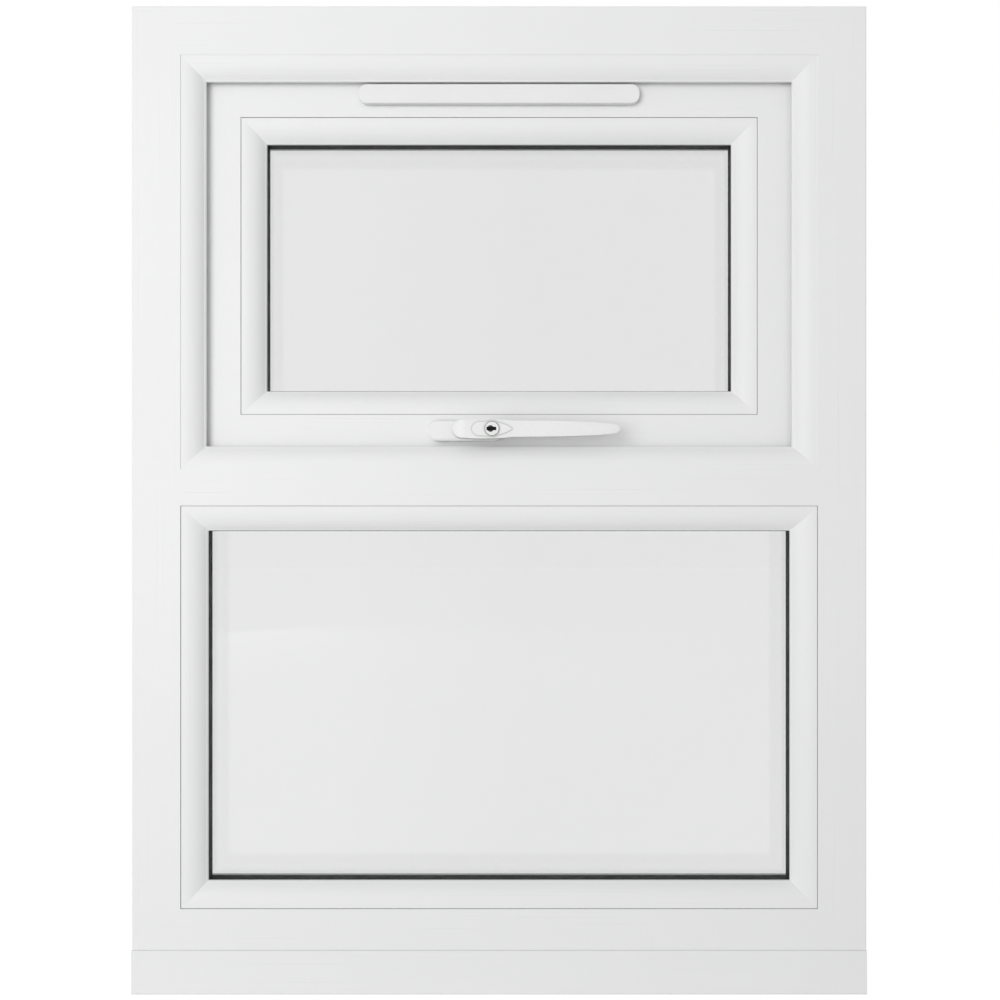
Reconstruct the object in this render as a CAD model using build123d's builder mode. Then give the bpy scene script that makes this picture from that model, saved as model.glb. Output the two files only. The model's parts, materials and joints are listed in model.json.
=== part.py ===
"""Top-hung window in extruded white plastic: an opening light above a fixed light, on a stub sill.

Millimetres. X runs to the right as seen from the room, Y points outdoors and Z points up.
The origin is under the sill, in the middle of the width and of the frame's depth.
"depth" is always measured outdoors from the frame's room face, and "inward" from a rectangle's edge.
"""
from build123d import *
import os

os.makedirs("parts", exist_ok=True)

# Overall sizes
frame_width = 610.0
frame_height = 790.0
frame_depth = 70.0
sill_height = 30.0
sill_depth = 85.0

# Frame and transom sections
wall = 2.8
frame_flat = 40.4
leg_width = 19.3
leg_thickness = 13.0
leg_lip_depth = 9.0
leg_lip = 1.6
leg_undercut = 2.6
leg_seal_inset = 5.6
leg_seal_width = 5.0
outer_leg_front = 53.0
outer_leg_width = 11.0
transom_flat = 30.3
transom_centre = 420.45
wall_groove = 2.5
wall_groove_width = 8.0
wall_groove_depth = 19.6
seal_slot = 3.0
seal_slot_depth = 2.4
seal_foot_gap = 0.2
drain_offset = 164.0
drain_depth = 47.6
drain_length = 28.0
drain_height = 3.6
quirk = 0.6
edge_round = 1.0

# Opening light
seal_gap = 3.0
hardware_gap = 12.0
sash_flat = 34.4
sash_depth = 70.0
flange_overlap = 8.0
flange_thickness = 13.0
sash_leg_thickness = 17.0
flange_seal_inset = 4.4
flange_seal_width = 9.0
sash_bead_width = 20.5
groove_width = 16.0
groove_depth = 4.5
groove_centre = 44.0

# Fixed light and glazing
fixed_bead_width = 21.0
bead_depth = 22.0
bead_lip_depth = 9.0
bead_lip = 1.6
bead_gap = 0.5
bead_foot = 2.4
bead_foot_depth = 13.2
pane_thickness = 4.0
pane_gap = 20.0
glass_edge = 3.5
spacer_height = 6.0
spacer_edge = 2.5
glazing_seal = 3.0
glazing_seal_centre = 5.0
glazing_seal_width = 6.0
gasket_width = 4.4
gasket_proud = 0.4
packer_length = 60.0
packer_inset = 80.0

# Friction stays: a four-bar linkage folded along the track
track_width = 18.0
track_height = 4.2
track_wall = 1.2
track_lip = 2.4
track_tail = 29.6
track_head = 12.0
layer_gap = 0.3
link_thickness = 1.9
long_arm_thickness = 2.2
arm_width = 14.0
link_width = 12.0
arm_reach = 85.0
link_reach = 51.4
top_pivot_drop = 17.6
pivot_radius = 2.5
pivot_clearance = 0.06
sash_arm_tail = 19.6

# Handle and lock
handle_x = -27.9
handle_rise = 20.8
handle_base_length = 64.8
handle_base_height = 17.6
handle_base_depth = 11.0
base_wall = 1.6
base_edge = 1.6
base_boss = 1.0
handle_screw_spacing = 43.0
hub_half = 7.7
lever_length = 137.5
lever_hub_left = 10.6
lever_front = 30.0
lever_grip_thickness = 9.5
lever_hub_gap = 0.3
lock_offset = 22.0
lock_radius = 6.0
barrel_rim = 0.7
spindle_side = 7.0
gearbox_length = 92.0
gearbox_thickness = 12.0
follower_radius = 8.0
rod_length = 380.0
rod_width = 15.0
rod_thickness = 2.4
rod_travel = 18.0
cam_spacing = 300.0
cam_radius = 4.5
cam_height = 7.2
keep_length = 46.0
keep_lead = 14.0
keep_screw_inset = 6.0

# Trickle vent
vent_length = 236.0
vent_height = 16.0
vent_drop = 16.7
vent_corner = 7.0
vent_plate = 1.6
vent_flap_depth = 4.6
vent_skin = 1.2
vent_slot_end = 20.0
vent_slot_bridge = 12.0
vent_slot_height = 3.8
vent_pin_radius = 0.8
vent_ear_radius = 1.45

# Places that follow from the sizes above
room_face = -frame_depth / 2
frame_rectangle = (frame_width / 2, sill_height, sill_height + frame_height)
rebate_half = frame_width / 2 - frame_flat
transom_top = transom_centre + transom_flat / 2
transom_foot = transom_centre - transom_flat / 2
opener_rebate = (rebate_half, transom_top, sill_height + frame_height - frame_flat)
fixed_rebate = (rebate_half, sill_height + frame_flat, transom_foot)
sash_face = leg_thickness + seal_gap
sash_back = sash_face + sash_depth
flange_width = hardware_gap + flange_overlap
sash_rectangle = (
    rebate_half - hardware_gap,
    transom_top + hardware_gap,
    opener_rebate[2] - hardware_gap,
)
sash_rebate = (
    sash_rectangle[0] - sash_flat,
    sash_rectangle[1] + sash_flat,
    sash_rectangle[2] - sash_flat,
)
glass_thickness = 2 * pane_thickness + pane_gap
stay_y = room_face + groove_centre
sides = ("head", "foot", "left", "right")


def side_plane(side, rectangle):
    """Plane across one side of a rectangle: local X is depth, local Y points in."""
    half_width, low, high = rectangle
    middle = (low + high) / 2
    places = {
        "head": ((0, room_face, high), (-1, 0, 0)),
        "foot": ((0, room_face, low), (1, 0, 0)),
        "left": ((-half_width, room_face, middle), (0, 0, -1)),
        "right": ((half_width, room_face, middle), (0, 0, 1)),
    }
    origin, normal = places[side]
    return Plane(origin=origin, x_dir=(0, 1, 0), z_dir=normal)


def side_half_length(side, rectangle):
    """Half of the side's length, with enough to spare for the mitres."""
    half_width, low, high = rectangle
    run = half_width if side in ("head", "foot") else (high - low) / 2
    return run + sash_flat


def mitre_planes(side, rectangle):
    """The two diagonal planes that end one side of a rectangle, facing into it."""
    half_width, low, high = rectangle
    if side in ("head", "foot"):
        edge, up = (high, 1) if side == "head" else (low, -1)
        return [Plane(origin=(end * half_width, 0, edge), z_dir=(-end, 0, up)) for end in (-1, 1)]
    hand = -1 if side == "left" else 1
    return [
        Plane(origin=(hand * half_width, 0, low), z_dir=(hand, 0, 1)),
        Plane(origin=(hand * half_width, 0, high), z_dir=(hand, 0, -1)),
    ]


def mitred_bar(side, rectangle, section):
    """One side of a mitred rectangle."""
    with BuildPart() as bar:
        with BuildSketch(side_plane(side, rectangle)):
            add(section)
        extrude(amount=side_half_length(side, rectangle), both=True)
        for cut in mitre_planes(side, rectangle):
            split(bisect_by=cut, keep=Keep.TOP)
    return bar.part


def mitred_ring(rectangle, section):
    """Four mitred sides joined into one ring."""
    with BuildPart() as ring:
        for side in sides:
            add(mitred_bar(side, rectangle, section))
    return ring.part


def block(low, high):
    """A plain box between two corners."""
    sizes = [high[axis] - low[axis] for axis in range(3)]
    middle = [(high[axis] + low[axis]) / 2 for axis in range(3)]
    with BuildPart() as solid:
        with Locations(tuple(middle)):
            Box(*sizes)
    return solid.part


def keep_part(part, name):
    """Label a finished piece and write it."""
    part.label = name
    export_step(part, f"parts/{name}.step")


# Extruded sections. The shares place the middle of every ovolo's curve in its own depth and width.

ovolo_depth_share = 0.30
ovolo_width_share = 0.56


def frame_box_section(height, with_groove):
    """Box part of a frame member, with its chambers and the wall-side grooves."""
    groove_depths = (wall_groove_depth, frame_depth - wall_groove_depth)
    inner_low = wall + (wall_groove if with_groove else 0)
    with BuildSketch() as section:
        with Locations((frame_depth / 2, height / 2)):
            Rectangle(frame_depth, height)
        if with_groove:
            fillet(section.vertices().group_by(Axis.Y)[0], edge_round)
            with Locations(*[(depth, wall_groove / 2) for depth in groove_depths]):
                Rectangle(wall_groove_width, wall_groove, mode=Mode.SUBTRACT)
        room_web = leg_thickness + wall
        outer_web = outer_leg_front - wall
        chambers = ((wall, leg_thickness), (room_web, outer_web), (outer_web + wall, frame_depth - wall))
        for start, end in chambers:
            with Locations(((start + end) / 2, (inner_low + height - wall) / 2)):
                Rectangle(end - start, height - wall - inner_low, mode=Mode.SUBTRACT)
    return section.sketch


def leg_section(root):
    """Room-side leg of the opening light's frame: quirk, ovolo, undercut lip and the slot for the seal."""
    tip = root + leg_width
    lip_back = leg_lip_depth + leg_lip
    neck = tip - leg_undercut
    with BuildSketch() as section:
        with BuildLine():
            Line((leg_thickness, root), (quirk, root))
            ThreePointArc(
                (quirk, root),
                (leg_lip_depth * ovolo_depth_share, root + leg_width * ovolo_width_share),
                (leg_lip_depth - 1, tip - 1.5),
            )
            ThreePointArc(
                (leg_lip_depth - 1, tip - 1.5),
                (leg_lip_depth - 0.4, tip - 0.5),
                (leg_lip_depth + 0.4, tip),
            )
            Line((leg_lip_depth + 0.4, tip), (lip_back, tip))
            Line((lip_back, tip), (lip_back, neck))
            Line((lip_back, neck), (leg_thickness, neck))
            Line((leg_thickness, neck), (leg_thickness, root))
        make_face()
        with Locations((leg_thickness - seal_slot_depth / 2, tip - leg_seal_inset)):
            Rectangle(seal_slot_depth, seal_slot, mode=Mode.SUBTRACT)
    return section.sketch


def outer_leg_section(root, front, back, width):
    """Outdoor leg that the glass is bedded against, with an ovolo outdoors and a slot for its seal."""
    tip = root + width
    with BuildSketch() as section:
        with BuildLine():
            Line((front, root), (front, tip - 1))
            ThreePointArc((front, tip - 1), (front + 0.3, tip - 0.3), (front + 1, tip))
            Line((front + 1, tip), (front + 7, tip))
            ThreePointArc(
                (front + 7, tip),
                (back - 3, root + width * ovolo_width_share),
                (back - quirk, root),
            )
            Line((back - quirk, root), (front, root))
        make_face()
        with Locations((front + seal_slot_depth / 2, root + glazing_seal_centre)):
            Rectangle(seal_slot_depth, seal_slot, mode=Mode.SUBTRACT)
    return section.sketch


def bead_slot_section(root, face):
    """Slot in the rebate floor that the bead's foot snaps into."""
    with BuildSketch() as section:
        with Locations((face + bead_foot_depth, root - bead_foot / 2)):
            Rectangle(bead_foot, bead_foot)
    return section.sketch


def sash_section():
    """Sash member: chambered body, outdoor flange, hardware groove and glazing leg."""
    flange_face = sash_back - flange_thickness
    groove_low = groove_centre - groove_width / 2
    groove_high = groove_centre + groove_width / 2
    with BuildSketch() as section:
        with BuildLine():
            Line((sash_face + 1, 0), (groove_low, 0))
            Line((groove_low, 0), (groove_low, groove_depth))
            Line((groove_low, groove_depth), (groove_high, groove_depth))
            Line((groove_high, groove_depth), (groove_high, 0))
            Line((groove_high, 0), (flange_face, 0))
            Line((flange_face, 0), (flange_face, -flange_width))
            Line((flange_face, -flange_width), (flange_face + 4, -flange_width))
            ThreePointArc(
                (flange_face + 4, -flange_width),
                (sash_back - 2.5, -flange_width + 5.05),
                (sash_back, -flange_width + 13),
            )
            Line((sash_back, -flange_width + 13), (sash_back, sash_flat))
            Line((sash_back, sash_flat), (sash_face, sash_flat))
            Line((sash_face, sash_flat), (sash_face, 1))
            ThreePointArc((sash_face, 1), (sash_face + 0.3, 0.3), (sash_face + 1, 0))
        make_face()
        add(outer_leg_section(sash_flat, sash_back - sash_leg_thickness, sash_back, outer_leg_width))
        webs = (sash_face, groove_low - wall, groove_high, sash_back - wall)
        floors = (wall, groove_depth + wall, wall)
        for start, end, floor in zip(webs[:-1], webs[1:], floors):
            with Locations(((start + wall + end) / 2, (floor + sash_flat - wall) / 2)):
                Rectangle(end - start - wall, sash_flat - wall - floor, mode=Mode.SUBTRACT)
        with Locations((flange_face + seal_slot_depth / 2, flange_seal_inset - flange_width)):
            Rectangle(seal_slot_depth, seal_slot, mode=Mode.SUBTRACT)
    return section.sketch


def bead_section(face, width):
    """Glazing bead with ovolo, lip, hollow body and snap foot. Local Y starts at the rebate floor."""
    back = face + bead_depth
    lip = face + bead_lip_depth
    neck = width - gasket_width
    with BuildSketch() as section:
        with BuildLine():
            Line((back, 0), (face + 1.4, 0))
            Line((face + 1.4, 0), (face + 1.4, bead_gap))
            Line((face + 1.4, bead_gap), (face + 0.5, bead_gap))
            ThreePointArc(
                (face + 0.5, bead_gap),
                (face + bead_lip_depth * ovolo_depth_share, width * ovolo_width_share),
                (lip - 0.9, width - 1.4),
            )
            ThreePointArc((lip - 0.9, width - 1.4), (lip - 0.3, width - 0.5), (lip + 0.5, width))
            Line((lip + 0.5, width), (lip + bead_lip, width))
            Line((lip + bead_lip, width), (lip + bead_lip, neck))
            Line((lip + bead_lip, neck), (back, neck))
            Line((back, neck), (back, 0))
        make_face()
        with Locations(((lip + back) / 2, neck / 2)):
            Rectangle(bead_depth - bead_lip_depth - 3, neck - 4, mode=Mode.SUBTRACT)
        with Locations((face + bead_foot_depth, -bead_foot / 2 + 0.2)):
            Rectangle(bead_foot - 0.4, bead_foot - 0.4)
    return section.sketch


def inner_gasket_section(face, width):
    """Black seal between the bead and the glass, a little proud of the bead's lip."""
    front = face + bead_lip_depth + bead_lip
    back = face + bead_depth
    low = width - gasket_width
    with BuildSketch() as section:
        with Locations(((front + back) / 2, low + (gasket_width + gasket_proud) / 2)):
            Rectangle(back - front, gasket_width + gasket_proud)
        fillet(section.vertices().group_by(Axis.Y)[-1], 0.8)
    return section.sketch


def seal_section(front, centre, width):
    """Black lip seal with a foot in its slot, standing the seal gap off the face it sits on."""
    with BuildSketch() as section:
        with BuildLine():
            Line((front, centre - width / 2), (front + seal_gap - 1.1, centre - width / 2))
            ThreePointArc(
                (front + seal_gap - 1.1, centre - width / 2),
                (front + seal_gap - layer_gap, centre),
                (front + seal_gap - 1.1, centre + width / 2),
            )
            Line((front + seal_gap - 1.1, centre + width / 2), (front, centre + width / 2))
            Line((front, centre + width / 2), (front, centre - width / 2))
        make_face()
        with Locations((front - (seal_slot_depth - seal_foot_gap) / 2, centre)):
            Rectangle(seal_slot_depth - seal_foot_gap, seal_slot - seal_foot_gap)
    return section.sketch


def glazing_seal_section(front, centre, width):
    """Black seal between the outer pane and the outdoor leg."""
    with BuildSketch() as section:
        with Locations((front - glazing_seal / 2, centre)):
            Rectangle(glazing_seal, width)
        with Locations((front + (seal_slot_depth - seal_foot_gap) / 2, centre)):
            Rectangle(seal_slot_depth - seal_foot_gap, seal_slot - seal_foot_gap)
    return section.sketch


# Outer frame

frame_box = frame_box_section(frame_flat, True)
opener_leg = leg_section(0)
fixed_leg = outer_leg_section(0, outer_leg_front, frame_depth, outer_leg_width)
fixed_slot = bead_slot_section(0, 0)

with BuildPart() as frame_head:
    add(mitred_bar("head", frame_rectangle, frame_box))
    add(mitred_bar("head", opener_rebate, opener_leg))
keep_part(frame_head.part, "frame_head")

with BuildPart() as frame_bottom_rail:
    add(mitred_bar("foot", frame_rectangle, frame_box))
    add(mitred_bar("foot", fixed_rebate, fixed_leg))
    add(mitred_bar("foot", fixed_rebate, fixed_slot), mode=Mode.SUBTRACT)
    # Drainage slots from the glazing rebate down to the sill
    with Locations(*[(hand * drain_offset, room_face + drain_depth, sill_height) for hand in (-1, 1)]):
        Box(drain_length, drain_height, 2 * (frame_flat + outer_leg_width), mode=Mode.SUBTRACT)
keep_part(frame_bottom_rail.part, "frame_bottom_rail")

for side in ("left", "right"):
    with BuildPart() as frame_jamb:
        add(mitred_bar(side, frame_rectangle, frame_box))
        add(mitred_bar(side, opener_rebate, opener_leg))
        add(mitred_bar(side, fixed_rebate, fixed_leg))
        add(mitred_bar(side, fixed_rebate, fixed_slot), mode=Mode.SUBTRACT)
        add(mitred_bar("head", fixed_rebate, fixed_slot), mode=Mode.SUBTRACT)
    keep_part(frame_jamb.part, f"frame_jamb_{side}")

transom_box = frame_box_section(transom_flat, False)
transom_rectangle = (rebate_half, transom_foot, transom_top)
with BuildPart() as transom:
    with BuildSketch(side_plane("foot", transom_rectangle)):
        add(transom_box)
    extrude(amount=rebate_half, both=True)
    add(mitred_bar("foot", opener_rebate, opener_leg))
    add(mitred_bar("head", fixed_rebate, fixed_leg))
    add(mitred_bar("head", fixed_rebate, fixed_slot), mode=Mode.SUBTRACT)
keep_part(transom.part, "transom")

# Galvanised steel tube inside the transom's middle chamber
steel_wall = 1.5
steel_corner = 2.5
steel_inner_corner = 1.2
steel_clearance = 0.4
steel_low = leg_thickness + wall + steel_clearance
steel_high = outer_leg_front - wall - steel_clearance
steel_width = steel_high - steel_low
steel_height = transom_flat - 2 * (wall + steel_clearance)
with BuildPart() as transom_reinforcement:
    with BuildSketch(side_plane("foot", transom_rectangle)) as steel_outline:
        with Locations(((steel_low + steel_high) / 2, transom_flat / 2)):
            RectangleRounded(steel_width, steel_height, steel_corner)
            RectangleRounded(
                steel_width - 2 * steel_wall,
                steel_height - 2 * steel_wall,
                steel_inner_corner,
                mode=Mode.SUBTRACT,
            )
    extrude(amount=rebate_half - 4, both=True)
keep_part(transom_reinforcement.part, "transom_reinforcement")

with BuildPart() as frame_seal:
    add(mitred_ring(opener_rebate, seal_section(leg_thickness, leg_width - leg_seal_inset, leg_seal_width)))
keep_part(frame_seal.part, "frame_seal")

# Stub sill: hollow, with a lip in front of the frame, a sloped top outdoors and a drip groove
sill_proud = 1.5
sill_lip_top = 36.3
cap_thickness = 2.0
sill_nose = sill_depth - sill_proud


def sill_outline():
    """Outline of the sill: local X is depth, local Y is height."""
    with BuildSketch() as outline:
        with BuildLine():
            Line((-sill_proud, 1), (-sill_proud, sill_lip_top - 0.7))
            ThreePointArc(
                (-sill_proud, sill_lip_top - 0.7),
                (-sill_proud / 2, sill_lip_top),
                (0, sill_lip_top - 0.7),
            )
            Line((0, sill_lip_top - 0.7), (0, sill_height))
            Line((0, sill_height), (frame_depth + 1, sill_height))
            Line((frame_depth + 1, sill_height), (sill_nose - 5, sill_height - 3.4))
            ThreePointArc(
                (sill_nose - 5, sill_height - 3.4),
                (sill_nose - 1.4, sill_height - 6.2),
                (sill_nose, sill_height - 10.5),
            )
            Line((sill_nose, sill_height - 10.5), (sill_nose, 1.5))
            ThreePointArc((sill_nose, 1.5), (sill_nose - 0.45, 0.45), (sill_nose - 1.5, 0))
            Line((sill_nose - 1.5, 0), (1 - sill_proud, 0))
            ThreePointArc((1 - sill_proud, 0), (0.3 - sill_proud, 0.3), (-sill_proud, 1))
        make_face()
        with Locations((sill_nose - 8, 1.5)):
            Rectangle(4, 3, mode=Mode.SUBTRACT)
    return outline.sketch


sill_plane = Plane(origin=(0, room_face, 0), x_dir=(0, 1, 0), z_dir=(1, 0, 0))
sill_webs = (0.0, 23.0, 46.0, sill_nose - 13)
with BuildPart() as sill:
    with BuildSketch(sill_plane):
        add(sill_outline())
        for start, end in zip(sill_webs[:-1], sill_webs[1:]):
            with Locations(((start + wall + end) / 2, sill_height / 2)):
                Rectangle(end - start - wall, sill_height - 2 * wall, mode=Mode.SUBTRACT)
    extrude(amount=frame_width / 2 - cap_thickness, both=True)
keep_part(sill.part, "sill")

with BuildPart() as sill_end_caps:
    for hand in (-1, 1):
        cap_plane = sill_plane.offset(hand * (frame_width / 2 - cap_thickness / 2))
        with BuildSketch(cap_plane):
            add(sill_outline())
        extrude(amount=cap_thickness / 2, both=True)
keep_part(sill_end_caps.part, "sill_end_caps")

# Glazing of both lights: the panes, the spacer, the seals, the beads and the packers


def pane(rectangle, front):
    """One sheet of glass, from its front depth."""
    half_width, low, high = rectangle
    return block(
        (glass_edge - half_width, room_face + front, low + glass_edge),
        (half_width - glass_edge, room_face + front + pane_thickness, high - glass_edge),
    )


def spacer_section(front):
    """Spacer bar between the panes, with its sealant."""
    middle = (front + pane_thickness + pane_gap / 2, glass_edge + spacer_edge + spacer_height / 2)
    with BuildSketch() as section:
        with Locations(middle):
            Rectangle(pane_gap, spacer_height)
    return section.sketch


def packers(rectangle, front):
    """Packers under, over and beside the glass unit."""
    half_width, low, high = rectangle
    depth_low = room_face + front
    depth_high = depth_low + glass_thickness
    reach = half_width - packer_inset
    found = []
    for hand in (-1, 1):
        for foot, top in ((low, low + glass_edge), (high - glass_edge, high)):
            found.append(block(
                (hand * reach - packer_length / 2, depth_low, foot),
                (hand * reach + packer_length / 2, depth_high, top),
            ))
        edge = sorted((hand * half_width, hand * (half_width - glass_edge)))
        middle = (low + high) / 2
        found.append(block(
            (edge[0], depth_low, middle - packer_length / 2),
            (edge[1], depth_high, middle + packer_length / 2),
        ))
    return found


lights = {
    "fixed": (fixed_rebate, 0.0, fixed_bead_width),
    "sash": (sash_rebate, sash_face, sash_bead_width),
}
for light, (rectangle, face, bead_width) in lights.items():
    glass_front = face + bead_depth
    with BuildPart() as inner_pane:
        add(pane(rectangle, glass_front))
    keep_part(inner_pane.part, f"{light}_inner_pane")
    with BuildPart() as outer_pane:
        add(pane(rectangle, glass_front + pane_thickness + pane_gap))
    keep_part(outer_pane.part, f"{light}_outer_pane")
    with BuildPart() as spacer:
        add(mitred_ring(rectangle, spacer_section(glass_front)))
    keep_part(spacer.part, f"{light}_spacer")
    with BuildPart() as glass_packers:
        for packer in packers(rectangle, glass_front):
            add(packer)
    keep_part(glass_packers.part, f"{light}_packers")
    with BuildPart() as inner_gasket:
        add(mitred_ring(rectangle, inner_gasket_section(face, bead_width)))
    keep_part(inner_gasket.part, f"{light}_inner_gasket")
    with BuildPart() as outer_gasket:
        seal_front = glass_front + glass_thickness + glazing_seal
        outer_seal = glazing_seal_section(seal_front, glazing_seal_centre, glazing_seal_width)
        add(mitred_ring(rectangle, outer_seal))
    keep_part(outer_gasket.part, f"{light}_outer_gasket")
    for side in sides:
        with BuildPart() as bead:
            add(mitred_bar(side, rectangle, bead_section(face, bead_width)))
        keep_part(bead.part, f"{light}_bead_{side}")

# Sash members

sash_body = sash_section()
sash_slot = bead_slot_section(0, sash_face)
sash_foot = sash_rectangle[1]
sash_head_top = sash_rectangle[2]
sash_half = sash_rectangle[0]
face_y = room_face + sash_face
back_y = room_face + sash_back
handle_z = sash_foot + handle_rise
vent_centre = sash_head_top - vent_drop
spindle_hole = 5.6
screw_hole = 2.6
vent_slot_gap = 1.3
vent_slot_rise = 0.65
vent_slot_rows = [
    vent_centre + vent_slot_rise + hand * (vent_slot_height + vent_slot_gap) / 2 for hand in (-1, 1)
]
vent_slot_length = (vent_length - vent_slot_bridge) / 2 - vent_slot_end
vent_slot_offset = (vent_slot_bridge + vent_slot_length) / 2


def bored_through_y(centre_x, centre_z, radius, low_y, high_y):
    """A round rod along Y, for cutting a hole or making a pin."""
    with BuildPart() as rod:
        with BuildSketch(Plane(origin=(centre_x, low_y, centre_z), x_dir=(1, 0, 0), z_dir=(0, 1, 0))):
            Circle(radius)
        extrude(amount=high_y - low_y)
    return rod.part


for side in ("left", "right"):
    with BuildPart() as sash_stile:
        add(mitred_bar(side, sash_rectangle, sash_body))
        add(mitred_bar(side, sash_rebate, sash_slot), mode=Mode.SUBTRACT)
    keep_part(sash_stile.part, f"sash_stile_{side}")

with BuildPart() as sash_head:
    add(mitred_bar("head", sash_rectangle, sash_body))
    add(mitred_bar("head", sash_rebate, sash_slot), mode=Mode.SUBTRACT)
    for row in vent_slot_rows:
        for hand in (-1, 1):
            start = hand * vent_slot_offset
            add(block(
                (start - vent_slot_length / 2, face_y - 1, row - vent_slot_height / 2),
                (start + vent_slot_length / 2, back_y + 1, row + vent_slot_height / 2),
            ), mode=Mode.SUBTRACT)
keep_part(sash_head.part, "sash_head")

# The bottom rail is routed for the lock's gearbox and bored for the spindle and the handle's screws
groove_floor = sash_foot + groove_depth
gearbox_gap = 0.3
route_half_length = gearbox_length / 2 + gearbox_gap
route_half_depth = gearbox_thickness / 2 + gearbox_gap
route_top = sash_foot + 12
with BuildPart() as sash_bottom_rail:
    add(mitred_bar("foot", sash_rectangle, sash_body))
    add(mitred_bar("foot", sash_rebate, sash_slot), mode=Mode.SUBTRACT)
    add(block(
        (handle_x - route_half_length, stay_y - route_half_depth, sash_foot),
        (handle_x + route_half_length, stay_y + route_half_depth, route_top),
    ), mode=Mode.SUBTRACT)
    add(bored_through_y(handle_x, handle_z, spindle_hole, face_y - 1, stay_y), mode=Mode.SUBTRACT)
    for hand in (-1, 1):
        screw_x = handle_x + hand * handle_screw_spacing / 2
        add(bored_through_y(screw_x, handle_z, screw_hole, face_y - 1, stay_y), mode=Mode.SUBTRACT)
keep_part(sash_bottom_rail.part, "sash_bottom_rail")

with BuildPart() as sash_seal:
    flange_seal = seal_section(0, flange_width - flange_seal_inset, flange_seal_width)
    seal_rectangle = (sash_half, sash_foot, sash_head_top)
    seal_depth = sash_back - flange_thickness
    with BuildSketch() as turned_seal:
        add(Pos(seal_depth, 0) * Rot(0, 0, 180) * flange_seal)
    add(mitred_ring(seal_rectangle, turned_seal.sketch))
keep_part(sash_seal.part, "sash_seal")

# Friction stays. Every pivot lies on the track's centre line when the sash is shut.
# The arm's reach is the same from the track pivot to the sash pivot as from there to the point above the sash
# that the sash turns about at first, so the top edge moves out and down before it could touch the frame.
top_pivot = opener_rebate[2] - top_pivot_drop
virtual_pivot = top_pivot + arm_reach - link_reach
sash_pivot = virtual_pivot - arm_reach
track_pivot = virtual_pivot - 2 * arm_reach
elbow_pivot = track_pivot + link_reach
shoe_pivot = elbow_pivot + link_reach
track_low = track_pivot - track_tail
track_high = top_pivot + track_head
layer_one = track_height + layer_gap
layer_two = layer_one + link_thickness + layer_gap
layer_three = layer_two + long_arm_thickness + layer_gap


def layer_plane(hand, height):
    """Plane parallel to a jamb at a height above its rebate floor: local X is Y, local Y is Z."""
    if hand < 0:
        return Plane(origin=(height - rebate_half, 0, 0), x_dir=(0, 1, 0), z_dir=(1, 0, 0))
    return Plane(origin=(rebate_half - height, 0, 0), x_dir=(0, -1, 0), z_dir=(-1, 0, 0))


def track_plane(hand, height):
    """Level plane at a jamb's rebate floor, on the track's centre line: local X is Y, local Y is minus X."""
    return Plane(origin=(hand * rebate_half, stay_y, height), x_dir=(0, 1, 0), z_dir=(0, 0, 1))


def local_y(hand):
    """The track's centre line in a layer plane's own X."""
    return -hand * stay_y


def stay_disc(hand, centre, radius, low, high):
    """Round rod across the stay's layers."""
    with BuildPart() as disc:
        with BuildSketch(layer_plane(hand, low)):
            with Locations((local_y(hand), centre)):
                Circle(radius)
        extrude(amount=high - low)
    return disc.part


def plain_screw(plane, place, shank, length, head, head_height):
    """Screw with a shank and a head of a few flats, its head's underside on the plane."""
    with BuildPart() as screw:
        with BuildSketch(plane):
            with Locations(place):
                RegularPolygon(shank, screw_sides)
        extrude(amount=-length)
        with BuildSketch(plane):
            with Locations(place):
                RegularPolygon(head, screw_sides)
        extrude(amount=head_height)
    return screw.part


def link_bar(hand, low, high, width, base, thickness, holes, extra=pivot_clearance):
    """Flat bar with round ends and its pivot holes, in one layer of the stay."""
    with BuildPart() as bar:
        with BuildSketch(layer_plane(hand, base)):
            with Locations((local_y(hand), (low + high) / 2)):
                SlotCenterToCenter(high - low, width, rotation=90)
            with Locations(*[(local_y(hand), hole) for hole in holes]):
                Circle(pivot_radius + extra, mode=Mode.SUBTRACT)
        extrude(amount=thickness)
    return bar.part


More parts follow.
